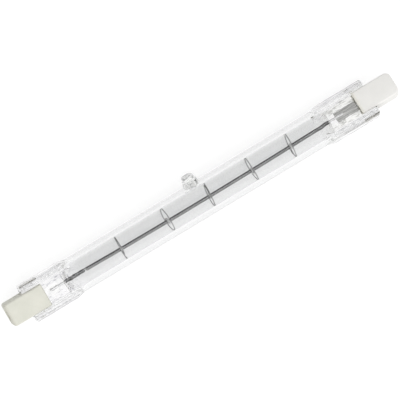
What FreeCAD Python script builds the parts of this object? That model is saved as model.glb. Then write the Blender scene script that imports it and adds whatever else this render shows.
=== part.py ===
import FreeCAD, Part
import math
import os

# Double-ended linear halogen lamp. All sizes are in millimetres and degrees.
# It is built lying along x, with y across the left pinch seal and z square to it,
# and is then rolled about x, the way the exhaust tip pulls it, until it lies on
# the tube with a rail of the right pinch just clear of the table, and turned end
# for end, so that the tip is on the -y side and the left cap at +x.
# The origin is on the axis, midway between the cap ends.

# Whole lamp
overall_length = 117.6
rest_gap = 0.3
end_for_end = 180.0

# Quartz tube
tube_diameter = 10.0
tube_wall = 1.6

# Pinch seals: two rails joined by a flat web
rail_width = 1.9
rail_thickness = 5.6
rail_corner = 0.8
rail_end_chamfer = 0.35
web_thickness = 3.0
pocket_draft = 12.0
pocket_ramp = 45.0
pinch_length_left = 12.5
pinch_length_right = 13.7
pinch_setback_left = 5.8
pinch_setback_right = 7.3
pinch_twist = 22.0
shoulder_length = 2.4
ramp_relief = 0.1

# Ends of the gas space, flattened to a chisel by the pinch
taper_lead = 0.8
throat_reach = 1.0
throat_clearance = 0.1
throat_corner = 1.6

# Exhaust tip
tip_position = -0.5
tip_turn = 8.0
tip_base_diameter = 4.6
tip_top_diameter = 3.0
tip_height = 2.7
tip_top_chamfer = 0.4
tip_hole_diameter = 1.4
tip_wall = 1.1

# Coil
coil_diameter = 1.0
coil_wire = 0.17
coil_end_gap = 0.3

# Wire supports, spaced unevenly along the coil and each a little askew
support_wire = 0.28
support_clearance = 0.03
first_support_gap = 16.6
last_support_gap = 11.4
support_steps = (14.2, 12.7, 12.9, 11.9)
support_starts = (70.0, 200.0, 310.0, 25.0, 150.0)
support_yaws = (-3.0, 5.0, -1.0, 1.0, 0.0)
support_leans = (0.0, 1.0, -4.5, 1.0, -5.0)
ring_turn = 300.0
wrap_turn = 130.0
wire_flats = 6

# Leads and foils sealed in the pinches
lead_diameter = 0.6
lead_clearance = 0.03
lead_insert = 1.2
lead_lap = 2.2
foil_width = 2.8
foil_thickness = 0.1
foil_edge_width = 0.5
foil_edge_thickness = 0.02
foil_inset = 3.2
foil_margin = 1.8

# Ceramic caps, forked over the webs
cap_width = 6.4
cap_length = 11.25
cap_side_clearance = 0.1
cap_corner_left = 0.7
cap_corner_right = 1.5
cap_edge_chamfer = 0.4
jaw_thickness = 0.9
cement_thickness = 0.15
cement_setback = 0.2
slot_gap = 0.3

# Contacts in the recessed cap ends
recess_depth = 1.7
recess_diameter = 3.6
recess_chamfer = 0.2
contact_diameter = 3.0
contact_thickness = 0.6
shank_diameter = 1.6
shank_setback = 0.3
contact_clearance = 0.05

# Worked out from the sizes above
tube_radius = tube_diameter / 2
bore_radius = tube_radius - tube_wall
pocket_width = cap_width + 2 * cap_side_clearance
pinch_width = pocket_width + 2 * rail_width
pocket_depth = (rail_thickness - web_thickness) / 2
slot_height = web_thickness + 2 * cement_thickness
cap_thickness = slot_height + 2 * jaw_thickness
throat_height = coil_diameter + 2 * throat_clearance
lead_radius = lead_diameter / 2
foil_height = -lead_radius - foil_thickness / 2

Vector = FreeCAD.Vector
center = Vector(0, 0, 0)
x_axis = Vector(1, 0, 0)
y_axis = Vector(0, 1, 0)
z_axis = Vector(0, 0, 1)


def rest_roll():
    """Roll about x at which the right pinch's lower rail comes down to the rest gap above the table."""
    across = pinch_width / 2 - rail_corner
    square = rail_thickness / 2 - rail_corner
    reach = (tube_radius - rest_gap - rail_corner) / math.hypot(across, square)
    return pinch_twist + math.degrees(math.atan2(square, across) - math.asin(min(1.0, reach)))


def stations(pinch_length, setback):
    """Places along one end of the lamp, measured outwards from its middle."""
    cap_end = overall_length / 2
    pinch_end = cap_end - setback
    pinch_start = pinch_end - pinch_length
    chamber_end = pinch_start + throat_reach
    contact_face = cap_end - recess_depth
    return {
        "tube_end": pinch_start - shoulder_length,
        "pinch_start": pinch_start,
        "pinch_end": pinch_end,
        "chamber_end": chamber_end,
        "coil_end": chamber_end - coil_end_gap,
        "foil_start": pinch_start + foil_inset,
        "foil_end": pinch_end - foil_margin,
        "cap_start": cap_end - cap_length,
        "cap_end": cap_end,
        "slot_end": pinch_end + slot_gap,
        "contact_face": contact_face,
        "contact_seat": contact_face - contact_thickness,
        "shank_start": pinch_end + slot_gap + shank_setback,
    }


def turned(shape, axis, angle):
    """A copy of a shape, turned about an axis through the middle of the lamp."""
    copy = shape.copy()
    copy.rotate(center, axis, angle)
    return copy


def on_left(shape):
    """An end piece, modelled pointing along +x, put at the left end."""
    return turned(shape, z_axis, 180.0)


def on_right(shape):
    """An end piece put at the right end, whose pinch is twisted against the left one."""
    return turned(shape, x_axis, -pinch_twist)


def arc_edge(x, start, middle, end):
    return Part.Arc(Vector(x, *start), Vector(x, *middle), Vector(x, *end)).toShape()


def rounded_outline(x, width, height, corner):
    """A rounded rectangle square to the lamp's axis: corner arcs and sides in turn."""
    y = width / 2 - corner
    z = height / 2 - corner
    corners = [(y, z, 0.0), (-y, z, 90.0), (-y, -z, 180.0), (y, -z, 270.0)]
    arcs = []
    for y_middle, z_middle, start in corners:
        angles = [math.radians(start + turn) for turn in (0.0, 45.0, 90.0)]
        points = [(y_middle + corner * math.cos(a), z_middle + corner * math.sin(a)) for a in angles]
        arcs.append(arc_edge(x, *points))
    edges = []
    for arc, following in zip(arcs, arcs[1:] + arcs[:1]):
        side = Part.LineSegment(arc.Vertexes[-1].Point, following.Vertexes[0].Point)
        edges += [arc, side.toShape()]
    return Part.Wire(edges)


def rod(start, end, radius):
    """A cylinder on the lamp's axis."""
    return Part.makeCylinder(radius, end - start, Vector(start, 0, 0), x_axis)


def block(x_start, x_end, width, height):
    """A box centred on the lamp's axis."""
    corner = Vector(x_start, -width / 2, -height / 2)
    return Part.makeBox(x_end - x_start, width, height, corner)


def prism(points, run):
    """A flat outline of corner points, extruded."""
    return Part.Face(Part.makePolygon(points + points[:1])).extrude(run)


def revolved(points, axis):
    """A solid turned from a half section about an axis through the middle of the lamp."""
    return Part.Face(Part.makePolygon(points + points[:1])).revolve(center, axis, 360)


def side_prism(outline, width):
    """A solid of constant side view: points of its upper edge, mirrored below the axis."""
    lower = [(x, -z) for x, z in reversed(outline)]
    points = [Vector(x, -width / 2, z) for x, z in outline + lower]
    return prism(points, y_axis * width)


def plan_prism(outline, height):
    """A solid of constant plan: points of its far edge, mirrored on the near side."""
    return turned(side_prism(outline, height), x_axis, 90.0)


def web_pocket(at):
    """What the jaws press out above the web: drafted sides, a ramp at the shoulder, open outwards."""
    floor = web_thickness / 2
    rise = 2 * pocket_depth
    top = floor + rise
    floor_half = pocket_width / 2
    top_half = floor_half + rise * math.tan(math.radians(pocket_draft))
    ramp_foot = at["pinch_start"] + pocket_depth / math.tan(math.radians(pocket_ramp))
    ramp_top = ramp_foot - rise / math.tan(math.radians(pocket_ramp))
    section = [(-floor_half, floor), (floor_half, floor), (top_half, top), (-top_half, top)]
    trough = prism(
        [Vector(ramp_top, y, z) for y, z in section],
        x_axis * (at["pinch_end"] + rise - ramp_top),
    )
    ramp = [(ramp_top, floor), (ramp_foot, floor), (ramp_top, top)]
    wedge = prism([Vector(x, -top_half, z) for x, z in ramp], y_axis * (2 * top_half))
    return trough.cut(wedge)


def pinch_outside(at):
    """Shoulder and pinch of one end: rails that grow out of the tube, web pressed in from both sides."""
    rail_half = rail_thickness / 2
    flattened = rod(at["tube_end"], at["pinch_start"], tube_radius).common(side_prism([
        (at["tube_end"], tube_radius + ramp_relief),
        (at["pinch_start"], rail_half),
    ], tube_diameter + 2 * ramp_relief))
    half = pinch_width / 2
    plan = plan_prism([
        (at["tube_end"], math.sqrt(tube_radius ** 2 - rail_half ** 2)),
        (at["pinch_start"], half),
        (at["pinch_end"] - rail_end_chamfer, half),
        (at["pinch_end"], half - rail_end_chamfer),
    ], rail_thickness + 2 * ramp_relief)
    bar = Part.Face(rounded_outline(at["tube_end"], pinch_width, rail_thickness, rail_corner))
    bar = bar.extrude(x_axis * (at["pinch_end"] - at["tube_end"])).common(plan)
    pocket = web_pocket(at)
    return bar.fuse(flattened).cut(pocket).cut(turned(pocket, x_axis, 180.0))


def chamber_end(at):
    """The gas space of one end, from the middle of the lamp to its flattened end."""
    tall = bore_radius + ramp_relief
    taper_start = at["tube_end"] - taper_lead
    chisel = side_prism([
        (0, tall),
        (taper_start, tall),
        (at["chamber_end"], throat_height / 2),
    ], 2 * tall)
    plan = block(-throat_corner, at["chamber_end"], 2 * bore_radius, 2 * tall)
    end_edges = []
    for edge in plan.Edges:
        if edge.BoundBox.ZLength > tall and edge.BoundBox.XMin > 0:
            end_edges.append(edge)
    plan = plan.makeFillet(throat_corner, end_edges)
    return rod(0, at["chamber_end"], bore_radius).common(chisel).common(plan)


def foil(at):
    """Thin metal strip with feathered edges, under the leads that are welded to it."""
    half = foil_width / 2
    flat_half = half - foil_edge_width
    thick = foil_thickness / 2
    thin = foil_edge_thickness / 2
    upper = [(half, thin), (flat_half, thick), (-flat_half, thick), (-half, thin)]
    section = upper + [(-y, -z) for y, z in upper]
    points = [Vector(at["foil_start"], y, foil_height + z) for y, z in section]
    return prism(points, x_axis * (at["foil_end"] - at["foil_start"]))


def inner_lead(at, radius):
    return rod(at["coil_end"] - lead_insert, at["foil_start"] + lead_lap, radius)


def outer_lead(at, radius):
    return rod(at["foil_end"] - lead_lap, at["shank_start"], radius)


def seal_cavity(at):
    """Room in the quartz for the foil and the two leads of one end."""
    radius = lead_radius + lead_clearance
    return foil(at).fuse(inner_lead(at, radius)).fuse(outer_lead(at, radius))


def tip_outside():
    """Stub of the exhaust tube: flared foot, straight neck and a flattened top."""
    base = tip_base_diameter / 2
    top = tip_top_diameter / 2
    foot = tube_radius - tube_wall / 2
    peak = tube_radius + tip_height
    return revolved([
        Vector(0, foot, 0),
        Vector(0, foot, base),
        Vector(0, tube_radius, base),
        Vector(0, tube_radius + tip_height / 2, top),
        Vector(0, peak - tip_top_chamfer, top),
        Vector(0, peak, top - tip_top_chamfer),
        Vector(0, peak, 0),
    ], y_axis)


def tip_hole():
    """What is left of the exhaust tube's bore, open to the gas space."""
    depth = tube_radius + tip_height - tip_wall
    return Part.makeCylinder(tip_hole_diameter / 2, depth, center, y_axis)


def placed_tip(shape):
    tip = turned(shape, x_axis, tip_turn)
    tip.translate(x_axis * tip_position)
    return tip


def quartz_envelope(left, right):
    """Tube, two pinches and tip in one piece, hollow, with room for foils and leads."""
    body = rod(-left["tube_end"], right["tube_end"], tube_radius)
    body = body.fuse([
        on_left(pinch_outside(left)),
        on_right(pinch_outside(right)),
        placed_tip(tip_outside()),
    ])
    inside = [
        on_left(chamber_end(left)),
        on_right(chamber_end(right)),
        placed_tip(tip_hole()),
        on_left(seal_cavity(left)),
        on_right(seal_cavity(right)),
    ]
    for cavity in inside:
        body = body.cut(cavity)
    return body.removeSplitter()


def filament(left, right):
    """The coil as the sleeve that its turns fill."""
    outside = rod(-left["coil_end"], right["coil_end"], coil_diameter / 2)
    inside = rod(-left["coil_end"], right["coil_end"], coil_diameter / 2 - coil_wire)
    return outside.cut(inside)


def plane_arc(middle, radius, start, turn):
    """An arc square to the lamp's axis, about a point on the y axis."""
    angles = [math.radians(start + turn * share) for share in (0.0, 0.5, 1.0)]
    return arc_edge(0, *[(middle + radius * math.cos(a), radius * math.sin(a)) for a in angles])


def filament_support():
    """Scroll of wire: a wide turn against the bore, half a turn in, a hook on the coil."""
    wire_radius = support_wire / 2
    wide = bore_radius - support_clearance - wire_radius
    close = coil_diameter / 2 + support_clearance + wire_radius
    swing = (wide + close) / 2
    ring = plane_arc(0, wide, 360.0 - ring_turn, ring_turn)
    path = Part.Wire([
        ring,
        plane_arc(wide - swing, swing, 0.0, 180.0),
        plane_arc(0, close, 180.0, wrap_turn),
    ])
    start = ring.valueAt(ring.FirstParameter)
    outward = start * (1 / wide)
    points = []
    for flat in range(wire_flats + 1):
        angle = math.tau * flat / wire_flats
        points.append(start + (x_axis * math.cos(angle) + outward * math.sin(angle)) * wire_radius)
    return path.makePipeShell([Part.Wire(Part.makePolygon(points))], True, False)


def support_places(left, right):
    first = -left["coil_end"] + first_support_gap
    last = right["coil_end"] - last_support_gap
    places = [first]
    for step in support_steps:
        places.append(places[-1] + step * (last - first) / sum(support_steps))
    return places


def ceramic_cap(at, corner):
    """Pressed ceramic block with a fork for the web and a stepped recess for the contact."""
    plate = block(at["cap_start"], at["cap_end"], cap_width, cap_thickness)
    end_edges = []
    for edge in plate.Edges:
        upright = edge.BoundBox.ZLength > cap_thickness / 2
        if upright and edge.CenterOfMass.x > at["contact_face"]:
            end_edges.append(edge)
    plate = plate.makeFillet(corner, end_edges)
    rims = [e for e in plate.Edges if abs(e.CenterOfMass.z) > cap_thickness / 2 - cap_edge_chamfer / 2]
    plate = plate.makeChamfer(cap_edge_chamfer, rims)
    fork = block(at["cap_start"] - slot_gap, at["slot_end"], 2 * cap_width, slot_height)
    recess = recess_diameter / 2
    socket = contact_diameter / 2 + contact_clearance
    shank = shank_diameter / 2 + contact_clearance
    mouth = recess + 2 * recess_chamfer
    hollow = revolved([
        Vector(at["pinch_end"], 0, 0),
        Vector(at["pinch_end"], 0, shank),
        Vector(at["contact_seat"], 0, shank),
        Vector(at["contact_seat"], 0, socket),
        Vector(at["contact_face"], 0, socket),
        Vector(at["contact_face"], 0, recess),
        Vector(at["cap_end"] - recess_chamfer, 0, recess),
        Vector(at["cap_end"] + recess_chamfer, 0, mouth),
        Vector(at["cap_end"] + recess_chamfer, 0, 0),
    ], x_axis)
    return plate.cut(fork).cut(hollow)


def cap_cement(at):
    """Cement between web and fork, and behind the end of the pinch."""
    bed = block(at["cap_start"] + cement_setback, at["slot_end"], cap_width, slot_height)
    web = block(at["cap_start"], at["pinch_end"], 2 * cap_width, web_thickness)
    lead_hole = rod(at["pinch_end"] - slot_gap, at["slot_end"] + slot_gap, lead_radius + lead_clearance)
    return bed.cut(web).cut(lead_hole)


def contact(at):
    """Metal button, flush with the recess floor, on a shank that the outer lead is welded to."""
    button = contact_diameter / 2
    shank = shank_diameter / 2
    return revolved([
        Vector(at["shank_start"], 0, 0),
        Vector(at["shank_start"], 0, shank),
        Vector(at["contact_seat"], 0, shank),
        Vector(at["contact_seat"], 0, button),
        Vector(at["contact_face"], 0, button),
        Vector(at["contact_face"], 0, 0),
    ], x_axis)


left_end = stations(pinch_length_left, pinch_setback_left)
right_end = stations(pinch_length_right, pinch_setback_right)
ends = {
    "left": (left_end, on_left, cap_corner_left),
    "right": (right_end, on_right, cap_corner_right),
}

nodes = {
    "quartz_envelope": quartz_envelope(left_end, right_end),
    "filament": filament(left_end, right_end),
}

askew = zip(support_places(left_end, right_end), support_starts, support_yaws, support_leans)
for number, (place, start, yaw, lean) in enumerate(askew, 1):
    support = turned(filament_support(), x_axis, start)
    support = turned(support, y_axis, yaw)
    support = turned(support, z_axis, lean)
    support.translate(x_axis * place)
    nodes[f"filament_support_{number}"] = support

for side, (at, put, corner) in ends.items():
    nodes[f"inner_lead_{side}"] = put(inner_lead(at, lead_radius))
    nodes[f"foil_{side}"] = put(foil(at))
    nodes[f"outer_lead_{side}"] = put(outer_lead(at, lead_radius))
    nodes[f"ceramic_cap_{side}"] = put(ceramic_cap(at, corner))
    nodes[f"cap_cement_{side}"] = put(cap_cement(at))
    nodes[f"contact_{side}"] = put(contact(at))

os.makedirs("parts", exist_ok=True)
for name, shape in nodes.items():
    laid = turned(turned(shape, x_axis, rest_roll()), z_axis, end_for_end)
    laid.exportStep(f"parts/{name}.step")
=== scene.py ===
import math
import bmesh
import bpy
from mathutils import Matrix, Vector, noise


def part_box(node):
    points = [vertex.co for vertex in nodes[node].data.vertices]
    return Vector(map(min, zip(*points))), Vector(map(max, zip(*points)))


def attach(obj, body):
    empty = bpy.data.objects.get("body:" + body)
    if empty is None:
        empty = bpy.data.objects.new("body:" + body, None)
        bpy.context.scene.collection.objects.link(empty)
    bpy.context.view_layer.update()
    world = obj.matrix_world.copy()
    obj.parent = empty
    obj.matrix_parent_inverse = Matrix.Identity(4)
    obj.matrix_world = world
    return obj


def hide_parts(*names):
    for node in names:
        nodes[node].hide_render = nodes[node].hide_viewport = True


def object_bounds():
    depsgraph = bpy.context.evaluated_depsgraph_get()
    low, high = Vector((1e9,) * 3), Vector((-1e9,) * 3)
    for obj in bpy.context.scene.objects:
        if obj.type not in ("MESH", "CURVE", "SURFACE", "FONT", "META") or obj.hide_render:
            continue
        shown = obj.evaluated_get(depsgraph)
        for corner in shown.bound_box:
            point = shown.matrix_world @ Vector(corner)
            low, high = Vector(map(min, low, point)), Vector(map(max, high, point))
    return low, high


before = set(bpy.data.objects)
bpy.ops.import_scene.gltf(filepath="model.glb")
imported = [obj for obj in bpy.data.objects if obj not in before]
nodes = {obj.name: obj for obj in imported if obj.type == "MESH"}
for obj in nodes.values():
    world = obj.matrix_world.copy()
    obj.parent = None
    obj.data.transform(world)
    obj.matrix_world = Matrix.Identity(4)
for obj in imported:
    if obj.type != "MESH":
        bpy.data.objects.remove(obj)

# Linear halogen lamp, dressed around its CAD pieces.
# Lengths in the dictionaries are in millimetres and turns in degrees, unless a note says otherwise.
cadLow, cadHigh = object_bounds()
mm = 0.001
print("frame loaded,", len(nodes), "nodes")


# Small helpers

def clearSelection():
    if bpy.context.object and bpy.context.object.mode != "OBJECT":
        bpy.ops.object.mode_set(mode="OBJECT")
    bpy.ops.object.select_all(action="DESELECT")


def pick(piece):
    clearSelection()
    piece.select_set(True)
    bpy.context.view_layer.objects.active = piece


def openMesh(piece):  # into edit mode, with everything selected
    pick(piece)
    bpy.ops.object.mode_set(mode="EDIT")
    bpy.ops.mesh.select_all(action="SELECT")
    return bmesh.from_edit_mesh(piece.data)


def closeMesh():  # out of edit mode, with all faces turned outwards
    bpy.ops.mesh.select_all(action="SELECT")
    bpy.ops.mesh.normals_make_consistent(inside=False)
    bpy.ops.object.mode_set(mode="OBJECT")


def rename(piece, name):
    piece.name = name
    piece.data.name = name
    return piece


def joinPieces(pieces, name):
    pick(pieces[0])
    for piece in pieces[1:]:
        piece.select_set(True)
    bpy.ops.object.join()
    return rename(bpy.context.object, name)


def applyPlace(piece):
    pick(piece)
    bpy.ops.object.transform_apply(location=True, rotation=True, scale=True)


def applyModifier(piece, kind, **settings):
    pick(piece)
    bpy.ops.object.modifier_add(type=kind)
    modifier = piece.modifiers[-1]
    for setting, value in settings.items():
        setattr(modifier, setting, value)
    bpy.ops.object.modifier_apply(modifier=modifier.name)


def smooth(share):
    share = min(1.0, max(0.0, share))
    return share * share * (3 - 2 * share)


def mix(a, b, share):
    return a + (b - a) * share


def grey(level):
    return (level, level, level)


def rollOf(nodeName):  # turn of a flat node about the lamp's axis
    points = [v.co for v in nodes[nodeName].data.vertices]
    near = min(points, key=lambda p: p.y)
    far = max(points, key=lambda p: p.y)
    return math.atan2(far.z - near.z, far.y - near.y)


def spanOf(nodeName):  # distances from the lamp's middle, nearest first
    low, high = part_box(nodeName)
    return sorted((abs(low.x) / mm, abs(high.x) / mm))


def finish(piece, nodeNames, material, sharp=40):
    pick(piece)
    bpy.ops.object.shade_smooth_by_angle(angle=math.radians(sharp))
    piece.data.materials.clear()
    piece.data.materials.append(material)
    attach(piece, "root")
    if nodeNames:
        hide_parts(*nodeNames)


# Shader nodes: each helper adds one and returns what it gives out

noiseLow, noiseHigh = 0.3, 0.7  # a noise seldom leaves this span


def newMaterial(name):
    material = bpy.data.materials.new(name)
    material.use_nodes = True
    tree = material.node_tree
    coords = tree.nodes.new("ShaderNodeTexCoord")
    return material, tree, tree.nodes["Principled BSDF"], coords.outputs["Object"]


def addMapping(tree, coords, along):  # stretches a pattern along the lamp
    mapping = tree.nodes.new("ShaderNodeMapping")
    mapping.inputs["Scale"].default_value = (along, 1.0, 1.0)
    tree.links.new(coords, mapping.inputs["Vector"])
    return mapping.outputs["Vector"]


def addNoise(tree, coords, along, scale, detail, rough=0.55):
    texture = tree.nodes.new("ShaderNodeTexNoise")
    texture.inputs["Scale"].default_value = scale
    texture.inputs["Detail"].default_value = detail
    texture.inputs["Roughness"].default_value = rough
    tree.links.new(addMapping(tree, coords, along), texture.inputs["Vector"])
    return texture.outputs["Fac"]


def addRamp(tree, factor, stops):
    ramp = tree.nodes.new("ShaderNodeValToRGB")
    while len(ramp.color_ramp.elements) < len(stops):
        ramp.color_ramp.elements.new(0.5)
    for element, (place, colour) in zip(ramp.color_ramp.elements, stops):
        element.position = place
        element.color = (*colour, 1.0)
    tree.links.new(factor, ramp.inputs["Fac"])
    return ramp.outputs["Color"]


def addRange(tree, value, low, high, newLow=0.0, newHigh=1.0):
    remap = tree.nodes.new("ShaderNodeMapRange")
    remap.inputs["From Min"].default_value = low
    remap.inputs["From Max"].default_value = high
    remap.inputs["To Min"].default_value = newLow
    remap.inputs["To Max"].default_value = newHigh
    tree.links.new(value, remap.inputs["Value"])
    return remap.outputs["Result"]


def addSpan(tree, value, span, newLow=0.0, newHigh=1.0):  # the same, over a span of millimetres
    return addRange(tree, value, span[0] * mm, span[1] * mm, newLow, newHigh)


def addMath(tree, operation, *values):
    total = tree.nodes.new("ShaderNodeMath")
    total.operation = operation
    for value, socket in zip(values, total.inputs):
        tree.links.new(value, socket)
    return total.outputs[0]


def addLength(tree, vector):
    length = tree.nodes.new("ShaderNodeVectorMath")
    length.operation = "LENGTH"
    tree.links.new(vector, length.inputs[0])
    return length.outputs["Value"]


def addPlace(tree, vector):
    place = tree.nodes.new("ShaderNodeSeparateXYZ")
    tree.links.new(vector, place.inputs["Vector"])
    return place.outputs


def addMix(tree, factor, first, second, blending="MIX"):  # the second is a colour or another node's
    blend = tree.nodes.new("ShaderNodeMix")
    blend.data_type = "RGBA"
    blend.blend_type = blending
    tree.links.new(factor, blend.inputs["Factor"])
    tree.links.new(first, blend.inputs["A"])
    if isinstance(second, tuple):
        blend.inputs["B"].default_value = (*second, 1.0)
    else:
        tree.links.new(second, blend.inputs["B"])
    return blend.outputs["Result"]


def setRoughness(tree, shader, grain, low, high):
    rough = addRange(tree, grain, noiseLow, noiseHigh, low, high)
    tree.links.new(rough, shader.inputs["Roughness"])


def setBump(tree, shader, height, strength, distance):
    bump = tree.nodes.new("ShaderNodeBump")
    bump.inputs["Strength"].default_value = strength
    bump.inputs["Distance"].default_value = distance * mm
    tree.links.new(height, bump.inputs["Height"])
    tree.links.new(bump.outputs["Normal"], shader.inputs["Normal"])


# Quartz glass: clear on the tube, crumpled and clouded on the pinches, duller on the tip.
# The zones of a pinch and of the tip are told apart by their distance from the lamp's axis.

white = grey(1.0)
glass = {
    "ior": 1.458,
    # noises: scale along the lamp, scale, detail and roughness
    "striae": (0.35, 420.0, 3.0),
    "crinkle": (0.6, 1100.0, 3.0),
    "streak": (0.16, 2600.0, 4.0, 0.6),
    "tint": [(0.3, (0.868, 0.872, 0.872)), (0.7, (0.888, 0.890, 0.892))],
    "haze": 0.02,
    "tipSpan": (5.0, 5.35),
    "tipRise": (5.0, 7.7),
    "tipDull": 0.10,
    "tipCrumple": 0.7,
    "tipTint": [(0.3, (0.95, 0.96, 0.945)), (0.7, (0.985, 0.99, 0.98))],
    "tipShadeRings": [  # painted shade: darker glass round the stub's foot and in its drawn-off top
        (0.0, white), (0.10, grey(0.66)), (0.22, white), (0.80, white), (0.90, grey(0.74)),
    ],
    "pressedSpan": (36.0, 41.0),  # from the lamp's middle
    "tubeRelief": 0.04,
    "reliefStrength": 0.8,
    "reliefDepth": 0.16,
    "leftMottle": [(0.80, (0.50, 0.50, 0.53)), (0.93, (0.89, 0.89, 0.91)), (1.0, (1.0, 0.995, 1.0))],
    "rightMottle": [(0.82, (0.40, 0.40, 0.38)), (0.96, (0.82, 0.82, 0.805)), (1.0, (0.97, 0.97, 0.955))],
    "clear": [(0.3, grey(0.96)), (0.6, white)],
    "foilSpan": (1.9, 2.2),
    "foilClear": 0.85,
    "webSpan": (3.3, 3.6),
    "coverSpan": (0.2, 0.6),  # past the start of a cap
    "railSpan": (4.3, 4.6),
    "railLines": [(0.34, (0.70, 0.70, 0.71)), (0.44, (0.96, 0.96, 0.97)), (0.50, white)],
    "railShadeSpan": (4.6, 5.6),
    "railShadeWaver": 0.06,
    "railShade": [  # painted shade: darker lines on the rail's lip, along its top, and at its corner
        (0.08, white), (0.18, (0.72, 0.72, 0.73)), (0.28, white),
        (0.42, white), (0.50, (0.76, 0.76, 0.77)), (0.58, white),
        (0.84, white), (0.94, (0.62, 0.62, 0.63)),
    ],
}


def quartzGlass(coverStart):
    material, tree, shader, coords = newMaterial("quartzGlass")
    shader.inputs["Transmission Weight"].default_value = 1.0
    shader.inputs["IOR"].default_value = glass["ior"]
    place = addPlace(tree, coords)
    reach = addMath(tree, "ABSOLUTE", place["X"])
    radius = addLength(tree, addMapping(tree, coords, 0.0))
    cloud = addNoise(tree, coords, *glass["striae"])
    crinkle = addNoise(tree, coords, *glass["crinkle"])
    streak = addNoise(tree, coords, *glass["streak"])
    melted = addSpan(tree, radius, glass["tipSpan"])  # the tip stands out of the tube
    pressed = addSpan(tree, reach, glass["pressedSpan"], glass["tubeRelief"])  # the pinches are rough

    dull = addRange(tree, melted, 0.0, 1.0, 0.0, glass["tipDull"])
    haze = addRange(tree, cloud, noiseLow, noiseHigh, 0.0, glass["haze"])
    tree.links.new(addMath(tree, "ADD", dull, haze), shader.inputs["Roughness"])
    crumpled = addRange(tree, melted, 0.0, 1.0, 0.0, glass["tipCrumple"])
    relief = addMath(tree, "MAXIMUM", pressed, crumpled)
    depth = addMath(tree, "MULTIPLY", crinkle, relief)
    setBump(tree, shader, depth, glass["reliefStrength"], glass["reliefDepth"])

    tint = addRamp(tree, cloud, glass["tint"])
    stub = addRamp(tree, cloud, glass["tipTint"])
    # painted shade: the stub's glass is darkened in rings at its foot and in its drawn-off top
    tipShade = addRamp(tree, addSpan(tree, radius, glass["tipRise"]), glass["tipShadeRings"])
    shadedStub = addMix(tree, melted, stub, tipShade, "MULTIPLY")
    drawnOff = addMix(tree, melted, tint, shadedStub)

    mottle = addMath(tree, "ADD", crinkle, streak)
    leftPinch = addRamp(tree, mottle, glass["leftMottle"])
    rightPinch = addRamp(tree, mottle, glass["rightMottle"])
    whichEnd = addSpan(tree, place["X"], (-1.0, 1.0))
    clouded = addMix(tree, whichEnd, rightPinch, leftPinch)
    clear = addRamp(tree, streak, glass["clear"])
    offWeb = addSpan(tree, radius, glass["webSpan"])  # clear on the walls beside the web and under a cap
    covered = addSpan(tree, reach, [coverStart + past for past in glass["coverSpan"]])
    beside = addMath(tree, "MAXIMUM", offWeb, covered)
    overFoil = addSpan(tree, radius, glass["foilSpan"], glass["foilClear"], 0.0)  # clearer over the foil
    bare = addMath(tree, "MAXIMUM", beside, overFoil)
    walls = addMix(tree, bare, clouded, clear)

    lines = addRamp(tree, streak, glass["railLines"])
    ribbed = addMix(tree, addSpan(tree, radius, glass["railSpan"]), walls, lines)
    sway = glass["railShadeWaver"] * mm
    waver = addRange(tree, streak, noiseLow, noiseHigh, -sway, sway)
    wavy = addMath(tree, "ADD", radius, waver)
    # painted shade: the rail glass is darkened in wavering lines at its lip, along its top and at its
    # corner
    railShade = addRamp(tree, addSpan(tree, wavy, glass["railShadeSpan"]), glass["railShade"])
    railed = addMix(tree, pressed, ribbed, railShade, "MULTIPLY")
    body = addMix(tree, pressed, drawnOff, railed)
    tree.links.new(body, shader.inputs["Base Color"])
    return material


# Ceramic, cement and metals

ceramicGrain = {
    "cloud": (1.0, 260.0, 6.0, 0.6),
    "speck": (1.0, 3200.0, 2.0),
    "rough": (0.5, 0.72),
    "bump": (0.25, 0.03),  # strength and depth
}
ceramics = {
    "warmCeramic": {
        "pale": (0.78, 0.775, 0.69), "deep": (0.72, 0.72, 0.635), "endTone": (0.66, 0.65, 0.57),
        "endToneSpan": (57.9, 58.7),
    },
    "paleCeramic": {
        "pale": (0.92, 0.91, 0.88), "deep": (0.88, 0.87, 0.84), "endTone": (0.88, 0.86, 0.78),
        "endToneSpan": (-48.4, -47.6),
    },
}


def pressedCeramic(name, pale, deep, endTone, endToneSpan):
    material, tree, shader, coords = newMaterial(name)
    cloud = addNoise(tree, coords, *ceramicGrain["cloud"])
    speck = addNoise(tree, coords, *ceramicGrain["speck"])
    body = addRamp(tree, cloud, [(0.32, deep), (0.62, pale)])
    # another tone over one end of a cap: darker over the left cap's outer end, yellowish at the right
    # cap's inner end
    edge = addSpan(tree, addPlace(tree, coords)["X"], endToneSpan)
    tree.links.new(addMix(tree, edge, body, endTone), shader.inputs["Base Color"])
    setRoughness(tree, shader, speck, *ceramicGrain["rough"])
    setBump(tree, shader, speck, *ceramicGrain["bump"])
    return material


cementLook = {
    "dark": (0.86, 0.84, 0.76),
    "light": (0.94, 0.92, 0.86),
    "grain": (1.0, 1800.0, 5.0, 0.7),
    "rough": (0.7, 0.95),
    "bump": (0.6, 0.06),
}


def grainyCement():
    material, tree, shader, coords = newMaterial("grainyCement")
    grain = addNoise(tree, coords, *cementLook["grain"])
    body = addRamp(tree, grain, [(noiseLow, cementLook["dark"]), (noiseHigh, cementLook["light"])])
    tree.links.new(body, shader.inputs["Base Color"])
    setRoughness(tree, shader, grain, *cementLook["rough"])
    setBump(tree, shader, grain, *cementLook["bump"])
    return material


# every edge colour here is painted shade, laid on towards each piece's outline as seen
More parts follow.
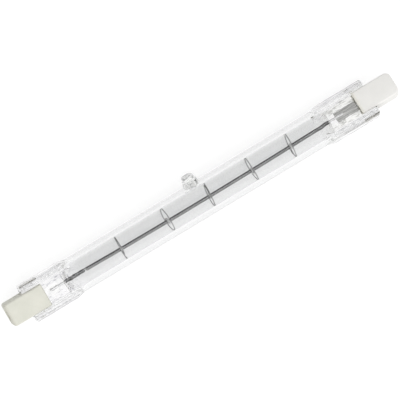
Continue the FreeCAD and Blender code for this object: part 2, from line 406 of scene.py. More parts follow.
metals = {
    # painted highlight and shade: the coil is near white where its wire faces the view and near black
    # elsewhere, with its grazing reflection turned down
    "coilMetal": {
        "dark": (0.88, 0.88, 0.89), "light": grey(0.98), "edge": (0.02, 0.02, 0.022),
        "rough": (0.16, 0.28), "depth": 0.003, "grazing": 0.05, "outlineShadeSpan": (0.04, 0.12),
    },
    "supportMetal": {
        "dark": grey(0.24), "light": grey(0.38), "edge": grey(0.10), "rough": (0.28, 0.45), "depth": 0.01,
    },
    # painted highlight: the wraps get a much brighter copy of the support wire's metal
    "wrapGlintMetal": {
        "dark": grey(0.70), "light": grey(0.90), "edge": grey(0.50), "rough": (0.25, 0.40), "depth": 0.01,
    },
    "paleMolybdenum": {
        "dark": grey(0.78), "light": (0.98, 0.98, 0.97), "edge": grey(0.70),
        "rough": (0.12, 0.30), "depth": 0.03, "along": 0.06, "scale": 2400.0,
    },
    # painted shade: the right foil gets a darker, more streaked copy of the left foil's metal
    "shadedStreakyMolybdenum": {
        "dark": (0.50, 0.50, 0.49), "light": (1.0, 1.0, 0.98), "edge": (0.60, 0.60, 0.59),
        "rough": (0.12, 0.30), "depth": 0.05, "along": 0.06, "scale": 2400.0,
    },
    "leadMetal": {
        "dark": grey(0.80), "light": grey(0.97), "edge": grey(0.06),
        "rough": (0.18, 0.30), "depth": 0.01, "grazing": 0.1,
    },
    "nickel": {
        "dark": (0.52, 0.49, 0.44), "light": (0.70, 0.67, 0.62), "edge": (0.42, 0.40, 0.36),
        "rough": (0.22, 0.40), "depth": 0.02, "along": 1.0, "scale": 900.0,
    },
}


def drawnMetal(
    name, dark, light, edge, rough, depth, along=0.3, scale=2600.0, grazing=1.0, outlineShadeSpan=(0.2, 0.8),
):
    material, tree, shader, coords = newMaterial(name)
    shader.inputs["Metallic"].default_value = 1.0
    shader.inputs["Specular Tint"].default_value = (*grey(grazing), 1.0)
    streak = addNoise(tree, coords, along, scale, 5.0, 0.6)
    body = addRamp(tree, streak, [(0.3, dark), (0.68, light)])
    # painted shade: each metal's base colour turns to its edge colour where the surface turns away from
    # the view
    facing = tree.nodes.new("ShaderNodeLayerWeight")
    facing.inputs["Blend"].default_value = 0.5
    rim = addRange(tree, facing.outputs["Facing"], *outlineShadeSpan)
    tree.links.new(addMix(tree, rim, body, edge), shader.inputs["Base Color"])
    setRoughness(tree, shader, streak, *rough)
    setBump(tree, shader, streak, 0.4, depth)
    return material


capStarts = [spanOf("ceramic_cap_" + side)[0] for side in ("left", "right")]
quartz = quartzGlass(max(capStarts))
ceramic = {name: pressedCeramic(name, **look) for name, look in ceramics.items()}
cement = grainyCement()
metal = {name: drawnMetal(name, **look) for name, look in metals.items()}
print("materials made")


# Quartz envelope: tube, two pinches with rails and web, exhaust tip, and the gas space inside

envelope = {
    "bore": 6.8,
    "boreColumns": 96,
    "ringGap": 1.8,
    "unwindReach": 12.0,  # from a pinch's roll to the tip's
    "railWidth": 1.9,
    "railThickness": 5.6,
    "railCorner": 0.8,
    "pocketWidth": 6.6,
    "pocketDraft": 12.0,
    "pocketFillet": 0.4,
    "lipFillet": 0.25,
    "webThickness": 2.98,
    "foilInset": 3.2,
    "shoulderLength": 2.4,
    "shoulderRings": 20,
    "rampReach": 1.3,
    "blendReach": 0.4,
    "ringsPerMm": 2,
    "endRound": 0.35,
    "endSteps": 4,
    "endInset": 0.12,
    "wrinkleDepth": 0.06,
    "wrinkleSize": 1.1,
    "capLead": 0.4,  # the web is smooth from here on, under the cap
    "taperLead": 0.8,
    "throatReach": 1.0,
    "throatHeight": 1.2,
    "throatCorner": 1.6,
    "throatRings": 16,
    "throatEnd": [(0.10, 0.12), (0.14, 0.30)],  # the last rings: how far on and how far drawn in
}
sectionSteps = {"web": 10, "fillet": 5, "wall": 3, "lip": 4, "railTop": 2, "corner": 6, "railSide": 6}
webPoints = sectionSteps["web"] + sectionSteps["fillet"]
quartzLow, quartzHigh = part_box("quartz_envelope")
tubeRadius = -quartzLow.z / mm
boreRadius = envelope["bore"] / 2
ends = {}
for side, sign, pinchEnd in (("left", 1, quartzHigh.x / mm), ("right", -1, -quartzLow.x / mm)):
    pinchStart = spanOf("foil_" + side)[0] - envelope["foilInset"]
    capStart, capEnd = spanOf("ceramic_cap_" + side)
    ends[side] = {
        "sign": sign,
        "roll": rollOf("foil_" + side),
        "tubeEnd": pinchStart - envelope["shoulderLength"],
        "pinchStart": pinchStart,
        "rampFoot": pinchStart + envelope["rampReach"],
        "pinchEnd": pinchEnd,
        "chamberEnd": pinchStart + envelope["throatReach"],
        "capStart": capStart,
        "capEnd": capEnd,
    }


def straight(start, end, count):
    shares = [k / count for k in range(1, count + 1)]
    return [(mix(start[0], end[0], share), mix(start[1], end[1], share)) for share in shares]


def arc(across, up, radius, startTurn, endTurn, count):
    points = []
    for k in range(1, count + 1):
        turn = math.radians(mix(startTurn, endTurn, k / count))
        points.append((across + radius * math.cos(turn), up + radius * math.sin(turn)))
    return points


def pinchQuarter(inset):  # from the middle of the web to the middle of the rail's side
    web = envelope["webThickness"] / 2 - inset
    top = envelope["railThickness"] / 2 - inset
    half = envelope["pocketWidth"] / 2 + envelope["railWidth"] - inset
    floorHalf = envelope["pocketWidth"] / 2 + inset
    fillet, lip, corner = envelope["pocketFillet"], envelope["lipFillet"], envelope["railCorner"]
    lean = envelope["pocketDraft"]
    draft = math.radians(lean)
    filletAcross = floorHalf - fillet * (1 - math.sin(draft)) / math.cos(draft)
    lipAcross = floorHalf + ((top - lip - web) * math.sin(draft) + lip) / math.cos(draft)
    lipStart = arc(lipAcross, top - lip, lip, 180, 180 - lean, 1)[0]
    points = [(0.0, web)]
    points += straight(points[-1], (filletAcross, web), sectionSteps["web"])
    points += arc(filletAcross, web + fillet, fillet, -90, -lean, sectionSteps["fillet"])
    points += straight(points[-1], lipStart, sectionSteps["wall"])
    points += arc(lipAcross, top - lip, lip, 180 - lean, 90, sectionSteps["lip"])
    points += straight(points[-1], (half - corner, top), sectionSteps["railTop"])
    points += arc(half - corner, top - corner, corner, 90, 0, sectionSteps["corner"])
    points += straight(points[-1], (half, 0.0), sectionSteps["railSide"])
    return points


def aroundSection(quarter):
    count = len(quarter) - 1
    ring = list(quarter)
    ring += [(u, -v) for u, v in reversed(quarter[:count])]
    ring += [(-u, -v) for u, v in quarter[1:]]
    ring += [(-u, v) for u, v in reversed(quarter[1:count])]
    return ring


def sectionTurns(quarter):  # the angle on the tube that each point of the section grows out of
    lengths = [0.0]
    for a, b in zip(quarter, quarter[1:]):
        lengths.append(lengths[-1] + math.dist(a, b))
    turns = [math.pi / 2 * (1 - length / lengths[-1]) for length in lengths]
    count = len(turns) - 1
    around = list(turns)
    around += [-t for t in reversed(turns[:count])]
    around += [-math.pi + t for t in turns[1:]]
    around += [-math.pi - t for t in reversed(turns[1:count])]
    return around


def rolled(x, u, v, roll):  # a point of a section that is turned about the lamp's axis
    across = u * math.cos(roll) - v * math.sin(roll)
    up = u * math.sin(roll) + v * math.cos(roll)
    return Vector((x, across, up)) * mm


def ovalPoint(x, wide, high, turn, roll=0.0):
    return rolled(x, wide * math.cos(turn), high * math.sin(turn), roll)


def extrudeRings(name, rings):  # a circle, extruded and set in place ring by ring, closed at both ends
    clearSelection()
    bpy.ops.mesh.primitive_circle_add(vertices=len(rings[0]), radius=mm)
    piece = rename(bpy.context.object, name)
    mesh = openMesh(piece)
    mesh.verts.layers.int.new("column")
    mesh = bmesh.from_edit_mesh(piece.data)
    for number, vertex in enumerate(mesh.verts):
        vertex[mesh.verts.layers.int["column"]] = number
    for number, ring in enumerate(rings):
        if number:
            bpy.ops.mesh.extrude_edges_indiv()
        mesh = bmesh.from_edit_mesh(piece.data)
        column = mesh.verts.layers.int["column"]
        for vertex in mesh.verts:
            if vertex.select:
                vertex.co = ring[vertex[column]]
        bmesh.update_edit_mesh(piece.data)
    bpy.ops.mesh.select_all(action="SELECT")
    bpy.ops.mesh.fill_holes(sides=0)
    closeMesh()
    return piece


tip = {
    "rows": 10,
    "footRadius": 2.5,
    "holeRows": 4,
    "holeFoot": 0.88,
    # radius, rise over the tube, and how far the ring is levelled
    "profile": [
        (2.42, 0.02, 0.0), (2.34, 0.07, 0.1), (2.27, 0.18, 0.2), (2.21, 0.36, 0.35), (2.14, 0.60, 0.55),
        (2.04, 0.90, 0.75), (1.92, 1.22, 0.9), (1.81, 1.52, 1.0), (1.72, 1.80, 1.0), (1.66, 2.06, 1.0),
        (1.62, 2.28, 1.0), (1.54, 2.46, 1.0), (1.42, 2.60, 1.0), (1.27, 2.68, 1.0), (1.14, 2.70, 1.0),
        (1.03, 2.66, 1.0), (0.95, 2.54, 1.0), (0.84, 2.40, 1.0), (0.62, 2.32, 1.0), (0.34, 2.29, 1.0),
        (0.12, 2.28, 1.0),
    ],
    "hole": [
        (0.80, 0.05, 0.1), (0.74, 0.16, 0.4), (0.71, 0.36, 0.8), (0.70, 0.8, 1.0), (0.70, 1.6, 1.0),
        (0.68, 2.4, 1.0), (0.60, 2.85, 1.0), (0.44, 3.08, 1.0), (0.22, 3.18, 1.0), (0.08, 3.2, 1.0),
    ],
    "waver": 0.045,
    "lobes": 3,
    "twist": 5,
    "outside": 1.4,  # times the tube's radius, past which only the tip is left
}
quartzPoints = [v.co for v in nodes["quartz_envelope"].data.vertices]
tipPoints = [p for p in quartzPoints if math.hypot(p.y, p.z) > tip["outside"] * tubeRadius * mm]
tipMiddle = sum(tipPoints, Vector()) / len(tipPoints)
tipTurn = math.atan2(tipMiddle.z, tipMiddle.y)
tipX = tipMiddle.x / mm


def tubeStations(start, end, rowGap, rows):  # dense around the tip
    dense = [tipX + rowGap * k for k in range(-2 * rows - 2, 2 * rows + 3)]
    before = round((dense[0] - start) / envelope["ringGap"])
    after = round((end - dense[-1]) / envelope["ringGap"])
    places = [mix(start, dense[0], k / before) for k in range(before)]
    places += dense
    places += [mix(dense[-1], end, k / after) for k in range(1, after + 1)]
    return places


def tipRoll(columns):  # close to the mean of the pinches, with a column on the tip
    near = (ends["left"]["roll"] + ends["right"]["roll"]) / 2
    step = math.tau / columns
    return tipTurn - math.pi / 2 + step * round((near + math.pi / 2 - tipTurn) / step)


def unwound(x, start, end):  # the nearer pinch's roll, and how far the columns have left it
    pinch, gone = (ends["right"], x - start) if x < tipX else (ends["left"], end - x)
    return pinch["roll"], smooth(gone / envelope["unwindReach"])


def pinchStations(end):  # places along a pinch, each with how far the section is drawn in
    last = end["pinchEnd"] - envelope["endRound"]
    rest = round(last - end["rampFoot"]) * envelope["ringsPerMm"]
    count = envelope["shoulderRings"]
    places = [mix(end["tubeEnd"], end["rampFoot"], k / count) for k in range(1, count + 1)]
    places += [mix(end["rampFoot"], last, k / rest) for k in range(1, rest + 1)]
    stations = [(place, 0.0) for place in places]
    for k in range(1, envelope["endSteps"] + 1):
        turn = math.radians(90 / envelope["endSteps"] * k)
        inset = envelope["endRound"] * (1 - math.cos(turn))
        stations.append((last + envelope["endRound"] * math.sin(turn), inset))
    stations.append((end["pinchEnd"], envelope["endRound"] + envelope["endInset"]))
    return stations


def pinchRings(end, quarter, turns):  # the round tube grows over a shoulder into rails and web
    section = aroundSection(quarter)
    period = 2 * (len(quarter) - 1)
    rings = []
    for place, inset in pinchStations(end):
        shape = aroundSection(pinchQuarter(inset)) if inset else section
        grown = place - end["tubeEnd"]
        rail = smooth(grown / (end["pinchStart"] + envelope["blendReach"] - end["tubeEnd"]))
        web = smooth(grown / (end["rampFoot"] + envelope["blendReach"] - end["tubeEnd"]))
        ring = []
        for k, turn in enumerate(turns):
            onWeb = min(k % period, period - k % period) < webPoints
            share = web if onWeb else rail
            u = mix(tubeRadius * math.cos(turn), shape[k][0], share)
            v = mix(tubeRadius * math.sin(turn), shape[k][1], share)
            point = rolled(end["sign"] * place, u, v, end["roll"])
            hidden = onWeb and place > end["capStart"] - envelope["capLead"]
            if not hidden:
                wave = noise.noise(point / (envelope["wrinkleSize"] * mm))
                out = Vector((0, point.y, point.z)).normalized()
                point += out * wave * envelope["wrinkleDepth"] * mm * rail
            ring.append(point)
        rings.append(ring)
    return rings


def outerRings():
    quarter = pinchQuarter(0.0)
    turns = sectionTurns(quarter)
    columns = len(turns)
    step = math.tau / columns
    middleRoll = tipRoll(columns)
    start, end = -ends["right"]["tubeEnd"], ends["left"]["tubeEnd"]
    rings = list(reversed(pinchRings(ends["right"], quarter, turns)))
    for x in tubeStations(start, end, tubeRadius * step, tip["rows"]):
        roll, share = unwound(x, start, end)
        ring = []
        for k in range(columns):
            turn = mix(turns[k] + roll, math.pi / 2 - step * k + middleRoll, share)
            ring.append(ovalPoint(x, tubeRadius, tubeRadius, turn))
        rings.append(ring)
    return rings + pinchRings(ends["left"], quarter, turns)


def throatRings(end, turns):  # the bore flattens and narrows into a pinch
    corner = envelope["throatCorner"]
    count = envelope["throatRings"]
    start = end["tubeEnd"] - envelope["taperLead"]
    cornerStart = end["chamberEnd"] - corner
    ovals = []
    for k in range(1, count + 1):
        place = mix(start, end["chamberEnd"], k / count)
        share = smooth((place - start) / (end["chamberEnd"] - start))
        high = mix(boreRadius, envelope["throatHeight"] / 2, share)
        past = max(0.0, place - cornerStart)
        wide = boreRadius - corner + math.sqrt(max(0.0, corner ** 2 - past ** 2))
        ovals.append((place, wide, high))
    for push, shrink in envelope["throatEnd"]:
        ovals.append((end["chamberEnd"] + push, wide - shrink, high - shrink))
    rings = []
    for place, wide, high in ovals:
        rings.append([ovalPoint(end["sign"] * place, wide, high, turn, end["roll"]) for turn in turns])
    return rings


def boreRings():
    columns = envelope["boreColumns"]
    step = math.tau / columns
    turns = [math.pi / 2 - step * k for k in range(columns)]
    middleRoll = tipRoll(columns)
    start = -(ends["right"]["tubeEnd"] - envelope["taperLead"])
    end = ends["left"]["tubeEnd"] - envelope["taperLead"]
    rings = list(reversed(throatRings(ends["right"], turns)))
    for x in tubeStations(start, end, boreRadius * step, tip["holeRows"]):
        pinchRoll, share = unwound(x, start, end)
        roll = mix(pinchRoll, middleRoll, share)
        rings.append([ovalPoint(x, boreRadius, boreRadius, turn, roll) for turn in turns])
    return rings + throatRings(ends["left"], turns)


def raiseStub(piece, radius, columns, rows, footRadius, profile):  # draws a round stub out of the wall
    mesh = openMesh(piece)
    mesh.verts.layers.float.new("turn")
    bpy.ops.mesh.select_all(action="DESELECT")
    mesh = bmesh.from_edit_mesh(piece.data)
    turnLayer = mesh.verts.layers.float["turn"]
    half = radius * math.tau / columns * rows
    slack = 0.02
    for vertex in mesh.verts:
        along = vertex.co.x / mm - tipX
        swing = math.atan2(vertex.co.z, vertex.co.y) - tipTurn
        swing = (swing + math.pi) % math.tau - math.pi
        around = radius * swing
        reach = max(abs(along), abs(around))
        if reach >= 2 * half:
            continue
        if reach < half - slack:  # a square patch is cut out, and the wall round it drawn to a circle
            vertex.select = True
            continue
        if reach < half + slack:
            vertex[turnLayer] = math.atan2(around, along)
        square = half * math.hypot(along, around) / reach
        pull = mix(footRadius / square, 1.0, smooth((reach - half) / half))
        vertex.co = ovalPoint(tipX + along * pull, radius, radius, swing * pull, tipTurn)
    bmesh.update_edit_mesh(piece.data)
    bpy.ops.mesh.delete(type="VERT")
    bpy.ops.mesh.select_non_manifold(  # the rim of the hole
        extend=False, use_wire=False, use_multi_face=False, use_non_contiguous=False, use_verts=False,
    )
    for size, rise, level in profile:
        bpy.ops.mesh.extrude_edges_indiv()
        mesh = bmesh.from_edit_mesh(piece.data)
        turnLayer = mesh.verts.layers.float["turn"]
        for vertex in mesh.verts:
            if vertex.select:
                turn = vertex[turnLayer]
                wave = math.sin(tip["lobes"] * turn + tip["twist"] * rise)
                ragged = size * (1 + tip["waver"] * level * wave)
                across = ragged * math.sin(turn)
                saddle = math.sqrt(radius ** 2 - across ** 2)
                high = mix(saddle, radius, level) + rise
                vertex.co = rolled(tipX + ragged * math.cos(turn), high, across, tipTurn)
        bmesh.update_edit_mesh(piece.data)
    bpy.ops.mesh.edge_face_add()
    closeMesh()


outer = extrudeRings("quartzOuter", outerRings())
outerColumns = len(sectionTurns(pinchQuarter(0.0)))
raiseStub(outer, tubeRadius, outerColumns, tip["rows"], tip["footRadius"], tip["profile"])
inner = extrudeRings("quartzInner", boreRings())
raiseStub(inner, boreRadius, envelope["boreColumns"], tip["holeRows"], tip["holeFoot"], tip["hole"])
openMesh(inner)
bpy.ops.mesh.flip_normals()  # the gas space's faces look into it
quartzBody = joinPieces([outer, inner], "quartzEnvelope")
finish(quartzBody, ["quartz_envelope"], quartz)
print("quartz envelope:", len(quartzBody.data.polygons), "faces")


# Coil: open turns between two close-wound legs, with one turn pulled open beside the left leg

coil = {
    "wire": 0.17,
    "sides": 6,
    "stepsPerTurn": 14,
    "pitch": 0.2,
    "closePitch": 0.185,
    "leftLeg": 5.4,
    "rightLeg": 3.6,
    "pulledTurn": 0.75,
    "bow": 0.46,
    "weld": 0.001,
}
coilLow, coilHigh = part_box("filament")
coilRadius = coilHigh.y / mm
coilStart, coilEnd = coilLow.x / mm, coilHigh.x / mm


def windTurns(name, start, end, radius, pitch, wire, sides, steps):  # a wire section on a screw
    clearSelection()
    place = (start * mm, radius * mm, 0)
    bpy.ops.mesh.primitive_circle_add(vertices=sides, radius=wire / 2 * mm, location=place)
    piece = rename(bpy.context.object, name)
    applyPlace(piece)
    turns = max(1, round((end - start) / pitch))
    applyModifier(piece, "SCREW", axis="X", angle=math.tau, screw_offset=pitch * mm, iterations=turns,
                  steps=steps, render_steps=steps)
    openMesh(piece)
    bpy.ops.mesh.remove_doubles(threshold=coil["weld"] * mm)
    bpy.ops.mesh.fill_holes(sides=0)
    closeMesh()
    return piece


def coilBow(x):  # the coil hangs a little away from the tip
    share = 2 * (x / mm - coilStart) / (coilEnd - coilStart) - 1
    return Vector((0, -math.cos(tipTurn), -math.sin(tipTurn))) * coil["bow"] * (1 - share * share) * mm


leftLegStart = coilEnd - coil["leftLeg"]
rightLegEnd = coilStart + coil["rightLeg"]
wound = []
for name, start, end, pitch in (
    ("coilLegLeft", leftLegStart, coilEnd, coil["closePitch"]),
    ("coilPulledTurn", leftLegStart - coil["pulledTurn"], leftLegStart, coil["pulledTurn"]),
    ("coilTurns", rightLegEnd, leftLegStart - coil["pulledTurn"], coil["pitch"]),
    ("coilLegRight", coilStart, rightLegEnd, coil["closePitch"]),
):
    radius = coilRadius - coil["wire"] / 2
    leg = windTurns(name, start, end, radius, pitch, coil["wire"], coil["sides"], coil["stepsPerTurn"])
    wound.append(leg)
coilBody = joinPieces(wound, "coilWire")
for vertex in coilBody.data.vertices:
    vertex.co += coilBow(vertex.co.x)
finish(coilBody, ["filament"], metal["coilMetal"], sharp=80)
print("coil:", len(coilBody.data.polygons), "faces")


# Wire supports: the CAD scroll made round, with a few tight turns on the coil

support = {
    "count": 5,
    "wire": 0.28,
    "sides": 8,
    "stepsPerTurn": 20,
    "wrapClearance": 0.03,
    "wrapPitch": 0.29,
    "wrapTurns": 2,
    "followReach": 0.9,  # the scroll follows the coil's bow up to here, and less and less beyond
    "followFade": 2.0,
    "weld": 0.002,
}


def roundScroll(nodeName):
    scroll = nodes[nodeName].copy()
    scroll.data = nodes[nodeName].data.copy()
    scroll.parent = None
    for key in list(scroll.keys()):
        del scroll[key]
    bpy.context.scene.collection.objects.link(scroll)
    openMesh(scroll)
    bpy.ops.mesh.remove_doubles(threshold=support["weld"] * mm)
    bpy.ops.mesh.tris_convert_to_quads()
    bpy.ops.object.mode_set(mode="OBJECT")
    applyModifier(scroll, "SUBSURF", levels=1, render_levels=1)
    for vertex in scroll.data.vertices:
        beyond = math.hypot(vertex.co.y, vertex.co.z) / mm - support["followReach"]
        vertex.co += coilBow(vertex.co.x) * (1 - smooth(beyond / support["followFade"]))
    return scroll


def tightWrap(nodeName):
    low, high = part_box(nodeName)
    middle = (low.x + high.x) / 2 / mm
    half = support["wrapPitch"] * support["wrapTurns"] / 2
    radius = coilRadius + support["wrapClearance"] + support["wire"] / 2
    wrap = windTurns("wrap", middle - half, middle + half, radius, support["wrapPitch"], support["wire"],
                     support["sides"], support["stepsPerTurn"])
    for vertex in wrap.data.vertices:
        vertex.co += coilBow(vertex.co.x)
    return wrap


for number in range(1, support["count"] + 1):
    nodeName = f"filament_support_{number}"
    scroll = rename(roundScroll(nodeName), f"supportWire{number}")
    wrap = rename(tightWrap(nodeName), f"supportWrap{number}")
    finish(scroll, [nodeName], metal["supportMetal"], sharp=60)
    finish(wrap, [], metal["wrapGlintMetal"], sharp=60)
print("supports made")


# Foils: thin strips, slightly rippled, under the leads

foilSize = {"thickness": 0.06, "ripple": 0.025, "rippleSize": 1.1, "columns": 60, "rows": 16}
for side, finishName in (("left", "paleMolybdenum"), ("right", "shadedStreakyMolybdenum")):
    nodeName = "foil_" + side
    end = ends[side]
    points = [v.co for v in nodes[nodeName].data.vertices]
    width = max((p - q).length for p in points for q in points if abs(p.x - q.x) < 1e-6)
    near, far = spanOf(nodeName)
    middle = sum(points, Vector()) / len(points)
    clearSelection()
    bpy.ops.mesh.primitive_grid_add(
        x_subdivisions=foilSize["columns"], y_subdivisions=foilSize["rows"], size=1.0,
    )
    strip = rename(bpy.context.object, "foilStrip" + side.capitalize())
    strip.scale = ((far - near) * mm, width, 1.0)
    strip.rotation_euler = (end["roll"], 0, 0)
    strip.location = (end["sign"] * (near + far) / 2 * mm, middle.y, middle.z)
    applyPlace(strip)
    across = Vector((0, -math.sin(end["roll"]), math.cos(end["roll"])))
    for vertex in strip.data.vertices:
        wave = noise.noise(vertex.co / (foilSize["rippleSize"] * mm))
        vertex.co += across * wave * foilSize["ripple"] * mm
    applyModifier(strip, "SOLIDIFY", thickness=foilSize["thickness"] * mm, offset=0.0)
    finish(strip, [nodeName], metal[finishName], sharp=50)
print("foils made")


# Ceramic caps: a bevelled block, forked for the web, with a stepped recess for the contact

capSize = {
    "width": 6.4,
    "thickness": 5.1,
    "slotHeight": 3.3,
    "slotGap": 0.3,
    "corner": {"left": 0.7, "right": 1.5},
    "cornerSegments": 8,
    "rim": 0.45,
    "rimSegments": 5,
    "softEdge": 0.1,
    "softSegments": 2,
    "softAngle": 50.0,
    "recessRadius": 1.8,
    "recessDepth": 1.7,
    "recessChamfer": 0.2,
    "socketRadius": 1.55,
    "socketDepth": 2.3,
    "shankRadius": 0.85,
    "shankOvercut": 0.5,
    "columns": 48,
}


def boxAt(name, start, end, width, height):
    clearSelection()
    bpy.ops.mesh.primitive_cube_add(size=1.0)
    piece = rename(bpy.context.object, name)
    piece.scale = ((end - start) * mm, width * mm, height * mm)
    piece.location = ((start + end) / 2 * mm, 0, 0)
    applyPlace(piece)
    return piece


def cutAway(piece, cutter):
    applyModifier(piece, "BOOLEAN", operation="DIFFERENCE", solver="EXACT", object=cutter)
    bpy.data.objects.remove(cutter)


def turnedSection(name, profile, columns):  # rings about the lamp's axis, from (place, radius) pairs
    turns = [math.tau * k / columns for k in range(columns)]
    rings = [[ovalPoint(place, radius, radius, turn) for turn in turns] for place, radius in profile]
    return extrudeRings(name, rings)


def selectEdges(piece, wanted):  # by the ends of an edge and how many of its faces look up or down
    bpy.ops.mesh.select_mode(type="EDGE")
    bpy.ops.mesh.select_all(action="DESELECT")
    mesh = bmesh.from_edit_mesh(piece.data)
    for edge in mesh.edges:
        up = sum(abs(face.normal.z) > 0.9 for face in edge.link_faces)
        if wanted(edge.verts[0].co, edge.verts[1].co, up):
            edge.select_set(True)
    bmesh.update_edit_mesh(piece.data)


def placeEnd(piece, end):  # an end piece made pointing along +x, put at its own end
    if end["sign"] < 0:
        piece.rotation_euler = (0, 0, math.pi)
        applyPlace(piece)
    piece.rotation_euler = (end["roll"], 0, 0)
    applyPlace(piece)


def ceramicCap(side):
    end = ends[side]
    start, stop = end["capStart"], end["capEnd"]
    block = boxAt("ceramicCap" + side.capitalize(), start, stop, capSize["width"], capSize["thickness"])
    openMesh(block)
    selectEdges(block, lambda a, b, up: abs(a.z - b.z) > mm and a.x > (stop - 1) * mm)  # upright edges
    bpy.ops.mesh.bevel(
        offset=capSize["corner"][side] * mm, segments=capSize["cornerSegments"], affect="EDGES",
    )
    selectEdges(block, lambda a, b, up: up == 1)  # round the top and the bottom
    bpy.ops.mesh.bevel(offset=capSize["rim"] * mm, segments=capSize["rimSegments"], affect="EDGES")
    bpy.ops.object.mode_set(mode="OBJECT")
    slotEnd = end["pinchEnd"] + capSize["slotGap"]
    cutAway(block, boxAt("slot", start - 1, slotEnd, 2 * capSize["width"], capSize["slotHeight"]))
    floor = stop - capSize["recessDepth"]
    seat = stop - capSize["socketDepth"]
    chamfer = capSize["recessChamfer"]
    cutAway(block, turnedSection("recess", [
        (slotEnd - capSize["shankOvercut"], capSize["shankRadius"]),
        (seat, capSize["shankRadius"]),
        (seat, capSize["socketRadius"]),
        (floor, capSize["socketRadius"]),
        (floor, capSize["recessRadius"]),
        (stop - chamfer, capSize["recessRadius"]),
        (stop + chamfer, capSize["recessRadius"] + 2 * chamfer),
    ], capSize["columns"]))
    applyModifier(block, "BEVEL", width=capSize["softEdge"] * mm, segments=capSize["softSegments"],
                  limit_method="ANGLE", angle_limit=math.radians(capSize["softAngle"]))
    placeEnd(block, end)
    return block


for side, finishName in (("left", "warmCeramic"), ("right", "paleCeramic")):
    finish(ceramicCap(side), ["ceramic_cap_" + side], ceramic[finishName], sharp=35)
print("caps made")


# Contacts: a button with a soft rim and a shallow dimple, on its shank

button = {
    "radius": 1.5,
    "thickness": 0.6,
    "rim": 0.12,
    "rimShare": 0.3,
    "backChamfer": 0.05,
    "shankRadius": 0.8,
    "shankChamfer": 0.1,
    "dimple": 0.08,
    "dimpleRings": (0.45, 0.35, 0.1),  # times the radius
    "columns": 48,
}
for side in ("left", "right"):
    nodeName = "contact_" + side
    near, far = spanOf(nodeName)
    seat = far - button["thickness"]
    radius, shank = button["radius"], button["shankRadius"]
    rim, rimFall = button["rim"], button["rim"] * button["rimShare"]
    brow, bed, middle = (radius * share for share in button["dimpleRings"])
    body = turnedSection("contactButton" + side.capitalize(), [
        (near, shank - button["shankChamfer"]),
        (near + button["shankChamfer"], shank),
        (seat, shank),
        (seat, radius - button["backChamfer"]),
        (seat + button["backChamfer"], radius),
        (far - rim, radius),
        (far - rimFall, radius - rimFall),
        (far, radius - rim),
        (far, brow),
        (far - button["dimple"], bed),
        (far - button["dimple"], middle),
    ], button["columns"])
    placeEnd(body, ends[side])
    finish(body, [nodeName], metal["nickel"], sharp=35)
print("contacts made")


# CAD pieces that stay, with their finishes

for side in ("left", "right"):
    for kind, material in (("inner_lead_", metal["leadMetal"]), ("outer_lead_", metal["leadMetal"]),
                           ("cap_cement_", cement)):
        node = nodes[kind + side]
        node.data.materials.clear()
        node.data.materials.append(material)
print("leads and cement dressed")


# White table: it throws light back at the lamp, and is lifted to white where it is looked at

table = {
    "size": 3.0,  # this and the next two in metres
    "nearBy": 0.06,
    "farOff": 0.15,
    "bounce": 0.70,
    "shade": 0.25,
    "fleck": 0.01,
    "fleckScale": 40.0,
    "roughness": 0.9,
    "lift": 0.81,
    "farLift": 0.25,  # seen through or in the glass, far from the lamp
}
clearSelection()
bpy.ops.mesh.primitive_plane_add(size=table["size"], location=(0, 0, cadLow.z))
floor = rename(bpy.context.object, "tableTop")
floorMaterial, tree, shader, coords = newMaterial("whiteTable")
fleck = addNoise(tree, coords, 1.0, table["fleckScale"], 2.0)
thrown, looked = (
    addRamp(tree, fleck, [(noiseLow, grey(level)), (noiseHigh, grey(level + table["fleck"]))])
    for level in (table["bounce"], table["shade"])
)
path = tree.nodes.new("ShaderNodeLightPath")
straightOn = path.outputs["Is Camera Ray"]
indirect = addMath(tree, "MAXIMUM", path.outputs["Is Glossy Ray"], path.outputs["Is Transmission Ray"])
away = addLength(tree, coords)
fade = addRange(tree, away, table["nearBy"], table["farOff"], table["lift"], table["farLift"])
inGlass = addMath(tree, "MULTIPLY", indirect, fade)
direct = addRange(tree, straightOn, 0.0, 1.0, 0.0, table["lift"])
lift = addMath(tree, "MAXIMUM", direct, inGlass)
seen = addMath(tree, "MAXIMUM", straightOn, indirect)
tree.links.new(addMix(tree, seen, thrown, looked), shader.inputs["Base Color"])
tree.links.new(lift, shader.inputs["Emission Strength"])
shader.inputs["Emission Color"].default_value = (*white, 1.0)
shader.inputs["Roughness"].default_value = table["roughness"]
floor.data.materials.append(floorMaterial)


# Sky: bright all over, darker low down, and one dim side that gives the glass its greys

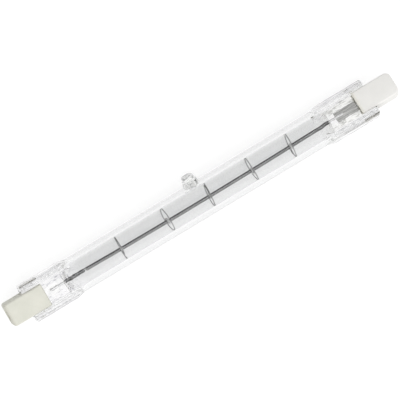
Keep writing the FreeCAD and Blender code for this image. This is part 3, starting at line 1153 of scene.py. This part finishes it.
sky = {
    "bright": 1.25,
    "dim": 0.55,
    "dimSide": (0, -0.80, 0.60),
    "dimSpan": (0.55, 0.95),
    "low": 0.45,
    "lowSpan": (0.0, 0.45),
}
world = bpy.data.worlds.new("studio")
bpy.context.scene.world = world
world.use_nodes = True
tree = world.node_tree
direction = tree.nodes.new("ShaderNodeTexCoord").outputs["Generated"]
toward = tree.nodes.new("ShaderNodeVectorMath")
toward.operation = "DOT_PRODUCT"
tree.links.new(direction, toward.inputs[0])
toward.inputs[1].default_value = sky["dimSide"]
level = addRange(tree, toward.outputs["Value"], *sky["dimSpan"], sky["bright"], sky["dim"])
horizon = addRange(tree, addPlace(tree, direction)["Z"], *sky["lowSpan"], sky["low"])
background = tree.nodes["Background"]
tree.links.new(addMath(tree, "MULTIPLY", level, horizon), background.inputs["Strength"])
background.inputs["Color"].default_value = (*white, 1.0)


# Camera: far off with a long lens

view = {
    "lens": 901.99,
    "sensor": 36.0,
    "distance": 2600.0,
    "lean": 79.6,
    "slant": 6.5,
    "roll": 31.064,
    "aside": -0.376,
    "clip": (0.01, 10.0),  # in metres
    "bounces": 128,  # light runs a long way inside the glass
}
lean, slant, roll = (math.radians(view[key]) for key in ("lean", "slant", "roll"))
lean -= ends["left"]["roll"]  # the lamp is seen the same way round however it lies
back = Vector((math.sin(slant), -math.cos(slant) * math.cos(lean), math.cos(slant) * math.sin(lean)))
across = (back * back.x - Vector((1, 0, 0))).normalized()
upward = back.cross(across)
rightward = across * math.cos(roll) - upward * math.sin(roll)
skyward = across * math.sin(roll) + upward * math.cos(roll)
place = (across * view["aside"] + back * view["distance"]) * mm
bpy.ops.object.camera_add()
camera = rename(bpy.context.object, "camera")
camera.data.lens = view["lens"]
camera.data.sensor_width = view["sensor"]
camera.data.clip_start, camera.data.clip_end = view["clip"]
camera.matrix_world = Matrix.Translation(place) @ Matrix((rightward, skyward, back)).transposed().to_4x4()
scene = bpy.context.scene
scene.camera = camera
scene.view_settings.view_transform = "Standard"
scene.cycles.max_bounces = view["bounces"]
scene.cycles.transmission_bounces = view["bounces"]
scene.cycles.glossy_bounces = view["bounces"]
print("table, light and camera set")
